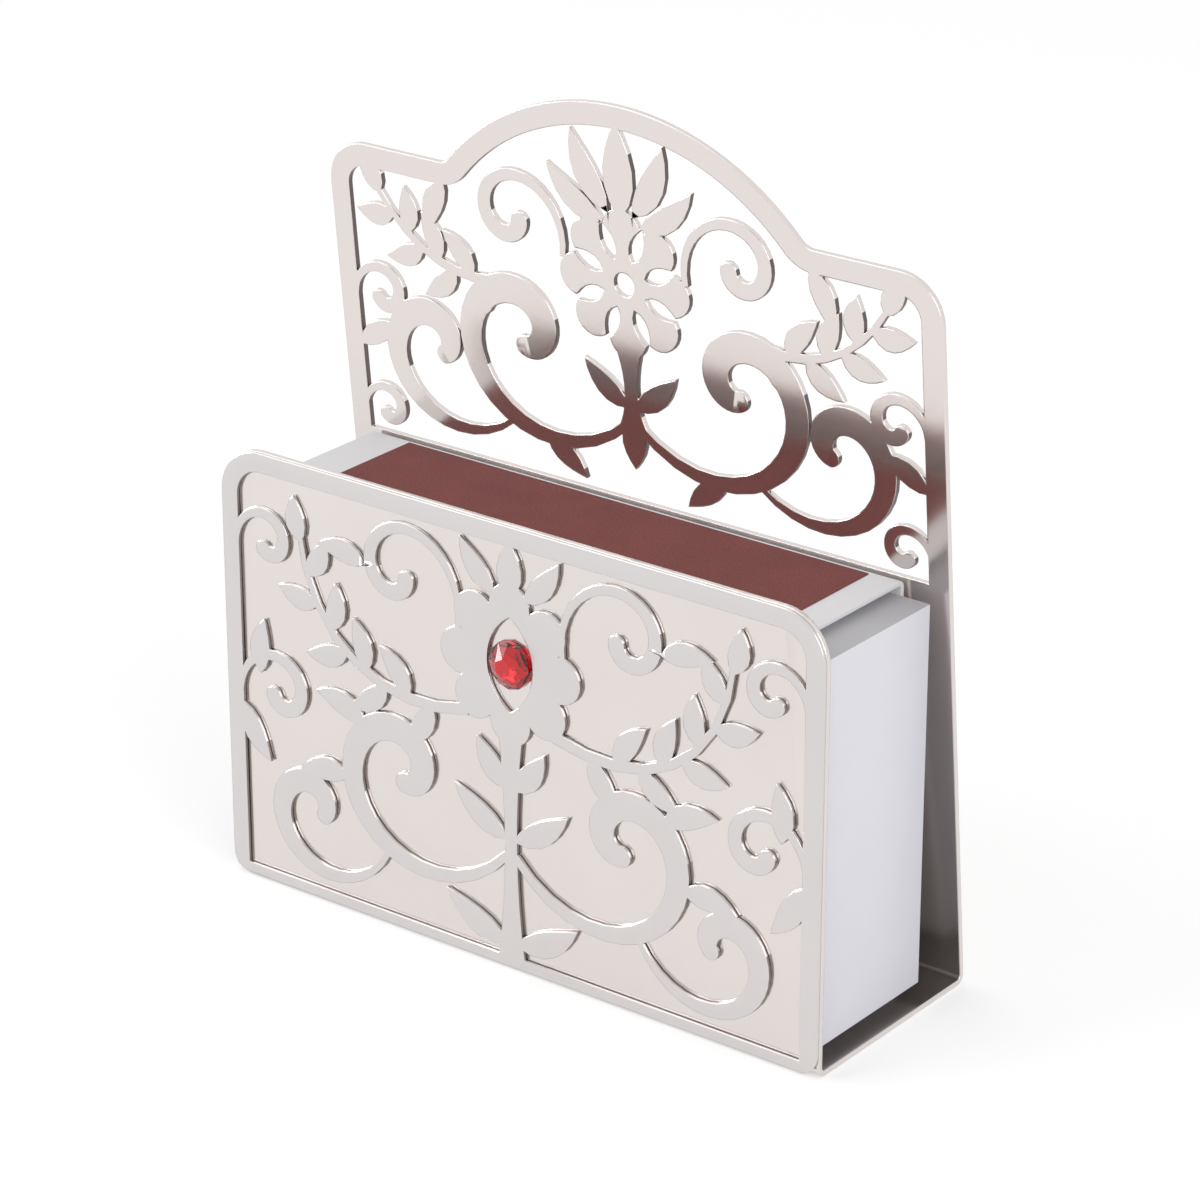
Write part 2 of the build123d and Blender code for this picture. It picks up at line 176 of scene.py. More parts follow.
def add(tree, kind, inputs=None, **settings):
    """Add a node with its settings. Each input takes a value, or the socket linked to it."""
    node = tree.nodes.new(kind)
    for name, value in settings.items():
        setattr(node, name, value)
    for name, value in (inputs or {}).items():
        socket = node.inputs[name]
        if isinstance(value, bpy.types.NodeSocket):
            tree.links.new(value, socket)
        else:
            socket.default_value = value
    return node


def new_material(name):
    """Empty material and its node tree."""
    material = bpy.data.materials.new(name)
    material.use_nodes = True
    material.node_tree.nodes.clear()
    return material, material.node_tree


def dimmed(colour, share):
    """The colour with its light cut to the share."""
    return [c * share for c in colour[:3]] + [1.0]


def seen_share(tree):
    """One where the eye, a mirror or glass looks, and zero where light only bounces."""
    path = add(tree, "ShaderNodeLightPath")
    eye, mirror, glass = [path.outputs[f"Is {ray} Ray"]
                          for ray in ("Camera", "Glossy", "Transmission")]
    first = add(tree, "ShaderNodeMath", {0: eye, 1: mirror}, operation="MAXIMUM")
    both = add(tree, "ShaderNodeMath", {0: first.outputs["Value"], 1: glass}, operation="MAXIMUM")
    return both.outputs["Value"]


# Materials

def satin_stainless(name, colour, roughness, edge):
    # Stainless sheet, finely brushed and then polished: it mirrors softly what stands close to it,
    # its gloss drifts a little where it was handled, and its edges, which the wheel wore round,
    # catch a bright line. The brushing is drawn coarser than real to show at all.
    smudge, stroke_length, stroke_width = 9 * mm, 7 * mm, 0.12 * mm
    material, tree = new_material(name)
    place = add(tree, "ShaderNodeTexCoord").outputs["Object"]
    smudges = add(tree, "ShaderNodeTexNoise",
                  {"Vector": place, "Scale": 1 / smudge, "Detail": 3.0}).outputs["Fac"]
    stroke = (1 / stroke_length, 1 / stroke_width, 1 / stroke_width)
    lines = add(tree, "ShaderNodeMapping", {"Vector": place, "Scale": stroke}).outputs["Vector"]
    brushing = add(tree, "ShaderNodeTexNoise",
                   {"Vector": lines, "Scale": 1.0, "Detail": 2.0}).outputs["Fac"]
    gloss = add(tree, "ShaderNodeMapRange",
                {"Value": smudges, "From Min": 0.3, "From Max": 0.7,
                 "To Min": roughness * 0.85, "To Max": roughness * 1.25})
    tint = add(tree, "ShaderNodeMix",
               {"Factor": smudges, mix_a: colour, mix_b: dimmed(colour, 0.94)}, data_type="RGBA")
    worn = add(tree, "ShaderNodeBevel", {"Radius": edge}, samples=worn_edge_samples)
    relief = add(tree, "ShaderNodeBump",
                 {"Height": brushing, "Distance": 0.0004 * mm, "Normal": worn.outputs["Normal"]})
    shader = add(tree, "ShaderNodeBsdfPrincipled",
                 {"Base Color": tint.outputs[mixed], "Metallic": 1.0,
                  "Roughness": gloss.outputs["Result"], "Normal": relief.outputs["Normal"]})
    add(tree, "ShaderNodeOutputMaterial", {"Surface": shader.outputs["BSDF"]})
    return material


def stainless_with_painted_shade(name, shade_tint, bright, roughness, reach, edge):
    # The same sheet between the two plates, with painted shade: darker and rougher at the bottom,
    # where the plates and the matchbox keep the light out, and clearer upwards, until it is as bright as the polished
    # faces.
    smudge, drift_height = 6 * mm, 8 * mm
    material, tree = new_material(name)
    place = add(tree, "ShaderNodeTexCoord").outputs["Object"]
    height = add(tree, "ShaderNodeSeparateXYZ", {"Vector": place}).outputs["Z"]
    smudges = add(tree, "ShaderNodeTexNoise",
                  {"Vector": place, "Scale": 1 / smudge, "Detail": 3.0}).outputs["Fac"]
    drift = add(tree, "ShaderNodeMath", {0: smudges, 1: drift_height, 2: height},
                operation="MULTIPLY_ADD")
    share = add(tree, "ShaderNodeMapRange",
                {"Value": drift.outputs["Value"], "From Min": 0.1 * reach, "From Max": reach},
                interpolation_type="SMOOTHSTEP").outputs["Result"]
    tint = add(tree, "ShaderNodeMix", {"Factor": share, mix_a: shade_tint, mix_b: bright},
               data_type="RGBA")
    gloss = add(tree, "ShaderNodeMapRange",
                {"Value": share, "To Min": roughness * 1.6, "To Max": roughness})
    worn = add(tree, "ShaderNodeBevel", {"Radius": edge}, samples=worn_edge_samples)
    shader = add(tree, "ShaderNodeBsdfPrincipled",
                 {"Base Color": tint.outputs[mixed], "Metallic": 1.0,
                  "Roughness": gloss.outputs["Result"], "Normal": worn.outputs["Normal"]})
    add(tree, "ShaderNodeOutputMaterial", {"Surface": shader.outputs["BSDF"]})
    return material


def etched_wall_with_painted_shade(name, colour):
    # Cut wall of an etched opening: matt, with a fine bite from the acid, and in a colour painted darker than the
    # faces as shade inside the openings.
    bite_size = 0.08 * mm
    material, tree = new_material(name)
    place = add(tree, "ShaderNodeTexCoord").outputs["Object"]
    bite = add(tree, "ShaderNodeTexNoise",
               {"Vector": place, "Scale": 1 / bite_size, "Detail": 2.0}).outputs["Fac"]
    relief = add(tree, "ShaderNodeBump", {"Height": bite, "Distance": 0.004 * mm})
    shader = add(tree, "ShaderNodeBsdfPrincipled",
                 {"Base Color": colour, "Metallic": 1.0, "Roughness": 0.42,
                  "Normal": relief.outputs["Normal"]})
    add(tree, "ShaderNodeOutputMaterial", {"Surface": shader.outputs["BSDF"]})
    return material


def coated_card(name, colour):
    # Clay-coated folding board: nearly white, half matt, with the faint cloud of its fibres.
    fibre, cloud_size = 0.35 * mm, 5 * mm
    material, tree = new_material(name)
    place = add(tree, "ShaderNodeTexCoord").outputs["Object"]
    fibres = add(tree, "ShaderNodeTexNoise",
                 {"Vector": place, "Scale": 1 / fibre, "Detail": 4.0}).outputs["Fac"]
    cloud = add(tree, "ShaderNodeTexNoise",
                {"Vector": place, "Scale": 1 / cloud_size, "Detail": 2.0}).outputs["Fac"]
    tint = add(tree, "ShaderNodeMix",
               {"Factor": cloud, mix_a: colour, mix_b: dimmed(colour, 0.95)}, data_type="RGBA")
    relief = add(tree, "ShaderNodeBump", {"Height": fibres, "Distance": 0.006 * mm})
    shader = add(tree, "ShaderNodeBsdfPrincipled",
                 {"Base Color": tint.outputs[mixed], "Roughness": 0.55, "IOR": 1.5,
                  "Normal": relief.outputs["Normal"]})
    add(tree, "ShaderNodeOutputMaterial", {"Surface": shader.outputs["BSDF"]})
    return material


def striking_paint(name, colour):
    # Red phosphorus and glass grit in binder: matt brown-red with dark and pale specks. The grit
    # is drawn about three times as coarse as real to show at all.
    grain, cloud_size = 0.16 * mm, 4 * mm
    material, tree = new_material(name)
    place = add(tree, "ShaderNodeTexCoord").outputs["Object"]
    grit = add(tree, "ShaderNodeTexNoise",
               {"Vector": place, "Scale": 1 / grain, "Detail": 3.0}).outputs["Fac"]
    cloud = add(tree, "ShaderNodeTexNoise",
                {"Vector": place, "Scale": 1 / cloud_size, "Detail": 2.0}).outputs["Fac"]
    wear = add(tree, "ShaderNodeMapRange",
               {"Value": cloud, "From Min": 0.3, "From Max": 0.7, "To Max": 0.35})
    worn = add(tree, "ShaderNodeMix",
               {"Factor": wear.outputs["Result"], mix_a: colour, mix_b: dimmed(colour, 0.5)},
               data_type="RGBA")
    specks = add(tree, "ShaderNodeMapRange",
                 {"Value": grit, "From Min": 0.36, "From Max": 0.60, "To Min": 0.7, "To Max": 0.0})
    tint = add(tree, "ShaderNodeMix",
               {"Factor": specks.outputs["Result"], mix_a: worn.outputs[mixed],
                mix_b: dimmed(colour, 0.45)}, data_type="RGBA")
    relief = add(tree, "ShaderNodeBump", {"Height": grit, "Distance": 0.03 * mm})
    shader = add(tree, "ShaderNodeBsdfPrincipled",
                 {"Base Color": tint.outputs[mixed], "Roughness": 0.82, "IOR": 1.5,
                  "Normal": relief.outputs["Normal"]})
    add(tree, "ShaderNodeOutputMaterial", {"Surface": shader.outputs["BSDF"]})
    return material


def red_crystal(name, colour):
    # Cut lead glass, coloured through: clear bright facets over the foil, deep red between them,
    # and a polish that fingers have rubbed a little uneven.
    rub_size = 0.8 * mm
    material, tree = new_material(name)
    place = add(tree, "ShaderNodeTexCoord").outputs["Object"]
    rub = add(tree, "ShaderNodeTexNoise",
              {"Vector": place, "Scale": 1 / rub_size, "Detail": 2.0}).outputs["Fac"]
    polish = add(tree, "ShaderNodeMapRange", {"Value": rub, "To Min": 0.01, "To Max": 0.04})
    shader = add(tree, "ShaderNodeBsdfPrincipled",
                 {"Base Color": colour, "Roughness": polish.outputs["Result"], "IOR": 1.58,
                  "Transmission Weight": 1.0})
    add(tree, "ShaderNodeOutputMaterial", {"Surface": shader.outputs["BSDF"]})
    return material


def mirror_foil(name, colour):
    # Silvered foil behind the glass: throws the light back up through it, softened by dust.
    dust_size = 0.6 * mm
    material, tree = new_material(name)
    place = add(tree, "ShaderNodeTexCoord").outputs["Object"]
    dust = add(tree, "ShaderNodeTexNoise",
               {"Vector": place, "Scale": 1 / dust_size, "Detail": 2.0}).outputs["Fac"]
    gloss = add(tree, "ShaderNodeMapRange", {"Value": dust, "To Min": 0.08, "To Max": 0.16})
    shader = add(tree, "ShaderNodeBsdfPrincipled",
                 {"Base Color": colour, "Metallic": 1.0, "Roughness": gloss.outputs["Result"]})
    add(tree, "ShaderNodeOutputMaterial", {"Surface": shader.outputs["BSDF"]})
    return material


def cured_film(name, colour):
    # Hardened bonding film: greyish, clouded by small bubbles, with soft gloss at its thin edge.
    bubble = 0.5 * mm
    material, tree = new_material(name)
    place = add(tree, "ShaderNodeTexCoord").outputs["Object"]
    bubbles = add(tree, "ShaderNodeTexNoise",
                  {"Vector": place, "Scale": 1 / bubble, "Detail": 2.0}).outputs["Fac"]
    tint = add(tree, "ShaderNodeMix",
               {"Factor": bubbles, mix_a: colour, mix_b: dimmed(colour, 0.8)}, data_type="RGBA")
    shader = add(tree, "ShaderNodeBsdfPrincipled",
                 {"Base Color": tint.outputs[mixed], "Roughness": 0.35, "IOR": 1.48})
    add(tree, "ShaderNodeOutputMaterial", {"Surface": shader.outputs["BSDF"]})
    return material


def split_aspen(name, pale, dark):
    # Split aspen: pale, straight grain along the stick, with slightly furry sides.
    grain_length, grain_width = 9 * mm, 0.22 * mm
    material, tree = new_material(name)
    place = add(tree, "ShaderNodeTexCoord").outputs["Object"]
    stroke = (1 / grain_length, 1 / grain_width, 1 / grain_width)
    along = add(tree, "ShaderNodeMapping", {"Vector": place, "Scale": stroke}).outputs["Vector"]
    lines = add(tree, "ShaderNodeTexNoise",
                {"Vector": along, "Scale": 1.0, "Detail": 3.0}).outputs["Fac"]
    share = add(tree, "ShaderNodeMapRange", {"Value": lines, "From Min": 0.35, "From Max": 0.68})
    tint = add(tree, "ShaderNodeMix",
               {"Factor": share.outputs["Result"], mix_a: pale, mix_b: dark}, data_type="RGBA")
    relief = add(tree, "ShaderNodeBump", {"Height": lines, "Distance": 0.03 * mm})
    shader = add(tree, "ShaderNodeBsdfPrincipled",
                 {"Base Color": tint.outputs[mixed], "Roughness": 0.68, "IOR": 1.5,
                  "Normal": relief.outputs["Normal"]})
    add(tree, "ShaderNodeOutputMaterial", {"Surface": shader.outputs["BSDF"]})
    return material


def match_compound(name, colour):
    # Dried striking compound: matt brown, lightly pitted where it bubbled on the stick, with painted shade darkening
    # the pits.
    pit = 0.25 * mm
    material, tree = new_material(name)
    place = add(tree, "ShaderNodeTexCoord").outputs["Object"]
    pits = add(tree, "ShaderNodeTexNoise",
               {"Vector": place, "Scale": 1 / pit, "Detail": 3.0}).outputs["Fac"]
    # Painted shade: the pits are drawn darker.
    share = add(tree, "ShaderNodeMapRange",
                {"Value": pits, "From Min": 0.3, "From Max": 0.7, "To Min": 0.6, "To Max": 0.0})
    tint = add(tree, "ShaderNodeMix",
               {"Factor": share.outputs["Result"], mix_a: colour, mix_b: dimmed(colour, 0.5)},
               data_type="RGBA")
    relief = add(tree, "ShaderNodeBump", {"Height": pits, "Distance": 0.05 * mm})
    shader = add(tree, "ShaderNodeBsdfPrincipled",
                 {"Base Color": tint.outputs[mixed], "Roughness": 0.75, "IOR": 1.5,
                  "Normal": relief.outputs["Normal"]})
    add(tree, "ShaderNodeOutputMaterial", {"Surface": shader.outputs["BSDF"]})
    return material


def paper_floor(name, colour, lift):
    # Seamless white paper: takes the object's shadow, and looks white to the eye and in the metal.
    material, tree = new_material(name)
    paper = add(tree, "ShaderNodeBsdfDiffuse", {"Color": colour}).outputs["BSDF"]
    glow = add(tree, "ShaderNodeEmission", {"Color": white, "Strength": lift})
    both = add(tree, "ShaderNodeAddShader", {0: paper, 1: glow.outputs["Emission"]})
    floor = add(tree, "ShaderNodeMixShader",
                {0: seen_share(tree), 1: paper, 2: both.outputs["Shader"]})
    add(tree, "ShaderNodeOutputMaterial", {"Surface": floor.outputs["Shader"]})
    return material


# Settings

class StageSettings(bpy.types.PropertyGroup):
    azimuth: FloatProperty(
        name="Azimuth", description="Camera's turn to the right of the front",
        default=radians(37.61), subtype="ANGLE")
    elevation: FloatProperty(
        name="Elevation", description="Camera's height above the level of its aim",
        default=radians(23.02), subtype="ANGLE")
    distance: FloatProperty(
        name="Distance", description="From the camera to its aim", default=0.35, unit="LENGTH")
    aim: FloatVectorProperty(
        name="Aim", description="Point of the front that the camera looks at",
        default=(0.00929, overlay_low.y, 0.03605), subtype="XYZ", unit="LENGTH")
    lens: FloatProperty(
        name="Lens", description="Focal length on a sensor 36 mm wide", default=132.6,
        unit="CAMERA")
    floor_reach: FloatProperty(
        name="Paper reach", description="From the middle of the paper to its sides",
        default=0.45, unit="LENGTH")
    paper: FloatVectorProperty(
        name="Paper", description="Colour of the seamless paper", size=4,
        default=linear("e2e2e2"), subtype="COLOR")
    lift: FloatProperty(
        name="Lift", description="Light that the paper adds where it is looked at", default=0.38)
    left_power: FloatProperty(
        name="Left box", description="Power of the tall soft box at the left of the camera",
        default=1.5, unit="POWER")
    right_power: FloatProperty(
        name="Right box", description="Power of the soft box at the right", default=2.2,
        unit="POWER")
    top_power: FloatProperty(
        name="Top box", description="Power of the soft box above", default=0.5, unit="POWER")
    spark_power: FloatProperty(
        name="Spark", description="Power of the bright card for the stone", default=4.0,
        unit="POWER")
    ambient: FloatProperty(
        name="Ambient", description="Strength of the surrounding light", default=0.62)


class SteelSettings(bpy.types.PropertyGroup):
    sheet_colour: FloatVectorProperty(
        name="Sheet", description="Colour of the folded sheet", size=4,
        default=linear("e0d9d6"), subtype="COLOR")
    overlay_colour: FloatVectorProperty(
        name="Overlay", description="Colour of the sheet laid over the front", size=4,
        default=linear("d6d2d1"), subtype="COLOR")
    # Painted shade: the faces between the plates take the first colour low down and clear upwards to the second.
    painted_shade_colour: FloatVectorProperty(
        name="Painted shade inside", description="Colour of the sheet deep between the plates", size=4,
        default=linear("bdb7b3"), subtype="COLOR")
    clear_colour: FloatVectorProperty(
        name="Upper inside", description="Colour of the back plate's face above the box", size=4,
        default=linear("dfd7d4"), subtype="COLOR")
    shade_fade_height: FloatProperty(
        name="Shade fade height",
        description="Height where the inner faces are as clear as they get",
        default=sleeve_high.z * 1.45, unit="LENGTH")
    # The cut walls' colours are painted shade: darker than the faces, and not put on walls that face up.
    sheet_wall_shade_colour: FloatVectorProperty(
        name="Etched edge shade", description="Colour of the back plate's cut walls", size=4,
        default=linear("6a625e"), subtype="COLOR")
    overlay_wall_shade_colour: FloatVectorProperty(
        name="Overlay's edge", description="Colour of the overlay's cut walls", size=4,
        default=linear("958e8a"), subtype="COLOR")
    roughness: FloatProperty(
        name="Roughness", description="Of the brushed faces", default=0.17, min=0, max=1,
        subtype="FACTOR")
    edge_round: FloatProperty(
        name="Edge rounding", description="Width of the sheets' rounded edges",
        default=0.05 * mm, unit="LENGTH")
    worn_edge: FloatProperty(
        name="Worn edge", description="Width along the edges that catches the light",
        default=0.16 * mm, unit="LENGTH")
    film_colour: FloatVectorProperty(
        name="Film", description="Colour of the bonding film", size=4,
        default=linear("b9b5ab"), subtype="COLOR")


class StoneSettings(bpy.types.PropertyGroup):
    colour: FloatVectorProperty(
        name="Glass", description="Colour of the stone", size=4,
        default=linear("d4141c"), subtype="COLOR")
    foil_colour: FloatVectorProperty(
        name="Foil", description="Colour of the foil behind it", size=4,
        default=linear("f0eef0"), subtype="COLOR")
    table_share: FloatProperty(
        name="Table", description="Table's share of the stone's width", default=0.40,
        min=0, max=1, subtype="FACTOR")
    girdle_share: FloatProperty(
        name="Girdle", description="Girdle's share of the stone's height", default=0.26,
        min=0, max=1, subtype="FACTOR")
    top_share: FloatProperty(
        name="Crown", description="Height of the cut stone, as a share of the room for it",
        default=0.82, min=0, max=1, subtype="FACTOR")
    facets: IntProperty(name="Facets", description="Main facets round the crown", default=6)
    foil_facets: IntProperty(
        name="Foil facets", description="Facets of the foil's cup", default=6)


class BoxSettings(bpy.types.PropertyGroup):
    card_colour: FloatVectorProperty(
        name="Sleeve card", description="Colour of the coated card", size=4,
        default=linear("e8e7e9"), subtype="COLOR")
    tray_colour: FloatVectorProperty(
        name="Tray card", description="Colour of the tray's card", size=4,
        default=linear("ecebf3"), subtype="COLOR")
    tray_side_colour: FloatVectorProperty(
        name="Tray side", description="Colour of the tray's narrow sides", size=4,
        default=linear("bdbcc0"), subtype="COLOR")
    striker_colour: FloatVectorProperty(
        name="Striker", description="Colour of the striking paint", size=4,
        default=linear("85423e"), subtype="COLOR")
    card_round: FloatProperty(
        name="Card edge", description="Rounding of the cut card", default=0.08 * mm,
        unit="LENGTH")


class MatchSettings(bpy.types.PropertyGroup):
    wood_pale: FloatVectorProperty(
        name="Wood", description="Pale wood between the grain lines", size=4,
        default=linear("ead6ae"), subtype="COLOR")
    wood_dark: FloatVectorProperty(
        name="Grain", description="Dark grain lines", size=4,
        default=linear("cfb181"), subtype="COLOR")
    head_colour: FloatVectorProperty(
        name="Heads", description="Colour of the match heads", size=4,
        default=linear("6b2a22"), subtype="COLOR")


class HolderSettings(bpy.types.PropertyGroup):
    stage: PointerProperty(type=StageSettings)
    steel: PointerProperty(type=SteelSettings)
    stone: PointerProperty(type=StoneSettings)
    box: PointerProperty(type=BoxSettings)
    matches: PointerProperty(type=MatchSettings)


# Geometry helpers

def new_object(name, mesh, materials):
    """Object of a mesh with its materials, linked to the scene."""
    piece = bpy.data.objects.new(name, mesh)
    bpy.context.scene.collection.objects.link(piece)
    for material in materials:
        mesh.materials.append(material)
    return piece


def object_of_shape(name, shape, materials):
    """Object of a bmesh, which is freed."""
    mesh = bpy.data.meshes.new(name)
    shape.to_mesh(mesh)
    shape.free()
    return new_object(name, mesh, materials)


def dress(node, *materials):
    """Give a CAD node its materials."""
    piece = frame["nodes"][node]
    piece.data.materials.clear()
    for material in materials:
        piece.data.materials.append(material)
    return piece


def soften(piece, width):
    """Weld a piece and round its sharp edges, by modifiers that leave its corners in place."""
    weld = piece.modifiers.new("weld", "WELD")
    weld.merge_threshold = weld_distance
    bevel = piece.modifiers.new("rounding", "BEVEL")
    bevel.width = width
    bevel.segments = 2
    bevel.limit_method = "ANGLE"
    bevel.angle_limit = sharp_angle
    bevel.use_clamp_overlap = False
    piece.data.shade_smooth()
    piece.data.set_sharp_from_angle(angle=sharp_angle)


def mark_shaded_pierced_walls(piece, facing):
    """Give slot 1, a colour painted dark as shade, to the openings' walls, apart from those that face up, which stay
    bright as the light falls from above.
    """
    ray_start = 0.02 * mm
    mesh = piece.data
    tree = BVHTree.FromPolygons([v.co for v in mesh.vertices], [p.vertices for p in mesh.polygons])
    for polygon in mesh.polygons:
        normal = polygon.normal
        # Walls that face up keep the bright face: the painted shade goes only on the others.
        wall = abs(normal.dot(facing)) < across_share and normal.z < across_share
        # A ray from an opening's wall meets the wall across it. One from the outer edge is free.
        if wall and tree.ray_cast(polygon.center + normal * ray_start, normal)[0]:
            polygon.material_index = 1


def mark_painted_shade_inside(piece):
    """Give slot 2, the painted shade, to the faces between the plates: they look at the matchbox or lie under it."""
    slight_share = 0.1
    middle = (sleeve_low.y + sleeve_high.y) / 2
    for polygon in piece.data.polygons:
        normal, centre = polygon.normal, polygon.center
        towards = abs(normal.y) > along_share and normal.y * (middle - centre.y) > 0
        under = normal.z > slight_share and centre.z < sleeve_low.z
        if abs(normal.x) < slight_share and (towards or under):
            polygon.material_index = 2


def solid_boxes(node):
    """Lowest and highest corner of each separate solid of a CAD node, in the node's own order."""
    shape = bmesh.new()
    shape.from_mesh(frame["nodes"][node].data)
    bmesh.ops.remove_doubles(shape, verts=shape.verts, dist=weld_distance / 2)
    left = set(shape.verts)
    boxes = []
    for start in shape.verts:
        if start not in left:
            continue
        left.remove(start)
        front = [start]
        solid = []
        while front:
            vert = front.pop()
            solid.append(vert.co.copy())
            for edge in vert.link_edges:
                other = edge.other_vert(vert)
                if other in left:
                    left.remove(other)
                    front.append(other)
        boxes.append([Vector([pick(co[axis] for co in solid) for axis in range(3)])
                      for pick in (min, max)])
    shape.free()
    return boxes


# Pieces

class HOLDER_OT_stage(bpy.types.Operator):
    """Set the floor, the lights and the camera"""
    bl_idname = "holder.stage"
    bl_label = "Stage"

    def execute(self, context):
        stage = context.scene.holder.stage
        self.floor(stage)
        self.lamps(context, stage)
        self.surroundings(context, stage)
        self.camera(context, stage)
        context.scene.view_settings.view_transform = "Standard"
        return {"FINISHED"}

    def floor(self, stage):
        """Paper just under the sheet, so that their two faces don't fight."""
        drop = 0.02 * mm
        reach = stage.floor_reach
        mesh = bpy.data.meshes.new("paper_floor")
        corners = [(-reach, -reach, 0), (reach, -reach, 0), (reach, reach, 0), (-reach, reach, 0)]
        mesh.from_pydata(corners, [], [(0, 1, 2, 3)])
        material = paper_floor("seamless_paper", stage.paper, stage.lift)
        floor = new_object("paper_floor", mesh, [material])
        floor.location.z = -drop
        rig.stage(floor)

    def lamps(self, context, stage):
        """Soft boxes, each with its power, width and place, turned to the holder's middle."""
        # The left box stands where upward edges mirror it, so that they catch a bright line and
        # the flat faces don't. The spark is a bright card that only gloss and glass show: the
        # stone's upper left facet mirrors it.
        holder_middle = Vector((0, 0, 0.03))
        boxes = (
            ("left_box", stage.left_power, 0.50, (-0.50, -0.54, 0.58)),
            ("right_box", stage.right_power, 0.60, (0.75, -0.30, 0.35)),
            ("top_box", stage.top_power, 0.50, (-0.10, 0.10, 0.80)),
            ("spark", stage.spark_power, 0.36, (-0.81, -0.36, 0.21)),
        )
        for name, power, size, place in boxes:
            light = bpy.data.lights.new(name, "AREA")
            light.energy = power
            light.size = size
            lamp = bpy.data.objects.new(name, light)
            lamp.location = place
            aim = holder_middle - lamp.location
            lamp.rotation_euler = aim.to_track_quat("-Z", "Y").to_euler()
            lamp.visible_diffuse = name != "spark"
            context.scene.collection.objects.link(lamp)

    def surroundings(self, context, stage):
        """White air to the eye, in metal and in glass, and a dimmer light on the object."""
        world = bpy.data.worlds.new("surroundings")
        world.use_nodes = True
        tree = world.node_tree
        tree.nodes.clear()
        strength = add(tree, "ShaderNodeMapRange",
                       {"Value": seen_share(tree), "To Min": stage.ambient, "To Max": 1.0})
        air = add(tree, "ShaderNodeBackground",
                  {"Color": white, "Strength": strength.outputs["Result"]})
        add(tree, "ShaderNodeOutputWorld", {"Surface": air.outputs["Background"]})
        context.scene.world = world

    def camera(self, context, stage):
        """Camera that looks at its aim, turned by the azimuth and raised by the elevation."""
        lens = bpy.data.cameras.new("camera")
        lens.lens = stage.lens
        lens.sensor_width = 36.0
        lens.clip_start = 0.01
        eye = bpy.data.objects.new("camera", lens)
        level = cos(stage.elevation)
        away = Vector((sin(stage.azimuth) * level, -cos(stage.azimuth) * level,
                       sin(stage.elevation)))
        eye.location = Vector(stage.aim) + away * stage.distance
        eye.rotation_euler = (-away).to_track_quat("-Z", "Y").to_euler()
        context.scene.collection.objects.link(eye)
        context.scene.camera = eye


class HOLDER_OT_steel_sheet(bpy.types.Operator):
    """Finish the folded sheet and its pierced back plate"""
    bl_idname = "holder.steel_sheet"
    bl_label = "Steel sheet"

    def execute(self, context):
        steel = context.scene.holder.steel
        face = satin_stainless("satin_stainless_sheet", steel.sheet_colour, steel.roughness,
                               steel.worn_edge)
        edge = etched_wall_with_painted_shade("etched_sheet_wall_shade", steel.sheet_wall_shade_colour)
        # The faces between the plates get painted shade, darker towards the bottom.
        inside = stainless_with_painted_shade("stainless_inside_painted_shade", steel.painted_shade_colour,
                                  steel.clear_colour, steel.roughness, steel.shade_fade_height,
                                  steel.worn_edge)
        plate = frame["nodes"]["back_plate"].data
        normal = max(plate.polygons, key=lambda polygon: polygon.area).normal.copy()
        sheet = self.join_at_fold(plate, normal, (face, edge, inside))
        mark_shaded_pierced_walls(sheet, normal)
        mark_painted_shade_inside(sheet)
        soften(sheet, steel.edge_round)
        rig.replaces(sheet, "folded_channel", "back_plate")
        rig.ride(sheet, "holder")
        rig.slot(sheet, "satin_steel")
        return {"FINISHED"}

    def join_at_fold(self, plate, normal, materials):
        """One sheet of the two nodes, without the faces where they meet above the bend."""
        square_share, seam_reach = 0.999, 0.01 * mm
        upwards = Vector((0, normal.z, -normal.y))      # along the leaning plate
        if upwards.z < 0:
            upwards.negate()
        seam = min(vertex.co.dot(upwards) for vertex in plate.vertices)
        shape = bmesh.new()
        shape.from_mesh(plate)
        shape.from_mesh(frame["nodes"]["folded_channel"].data)
        hidden = [face for face in shape.faces
                  if abs(face.normal.dot(upwards)) > square_share
                  and abs(face.calc_center_median().dot(upwards) - seam) < seam_reach]
        bmesh.ops.delete(shape, geom=hidden, context="FACES_ONLY")
        bmesh.ops.remove_doubles(shape, verts=shape.verts, dist=weld_distance)
        return object_of_shape("folded_sheet", shape, materials)


class HOLDER_OT_overlay(bpy.types.Operator):
    """Finish the pierced sheet on the front and the film that holds it"""
    bl_idname = "holder.overlay"
    bl_label = "Overlay"

    def execute(self, context):
        steel = context.scene.holder.steel
        face = satin_stainless("satin_stainless_overlay", steel.overlay_colour, steel.roughness,
                               steel.worn_edge)
        edge = etched_wall_with_painted_shade("etched_overlay_wall_shade", steel.overlay_wall_shade_colour)
        overlay = dress("front_overlay", face, edge)
        mark_shaded_pierced_walls(overlay, Vector((0, -1, 0)))
        soften(overlay, steel.edge_round)
        film = cured_film("cured_bonding_film", steel.film_colour)
        dress("overlay_bond", film)
        dress("stone_bond", film)
        return {"FINISHED"}


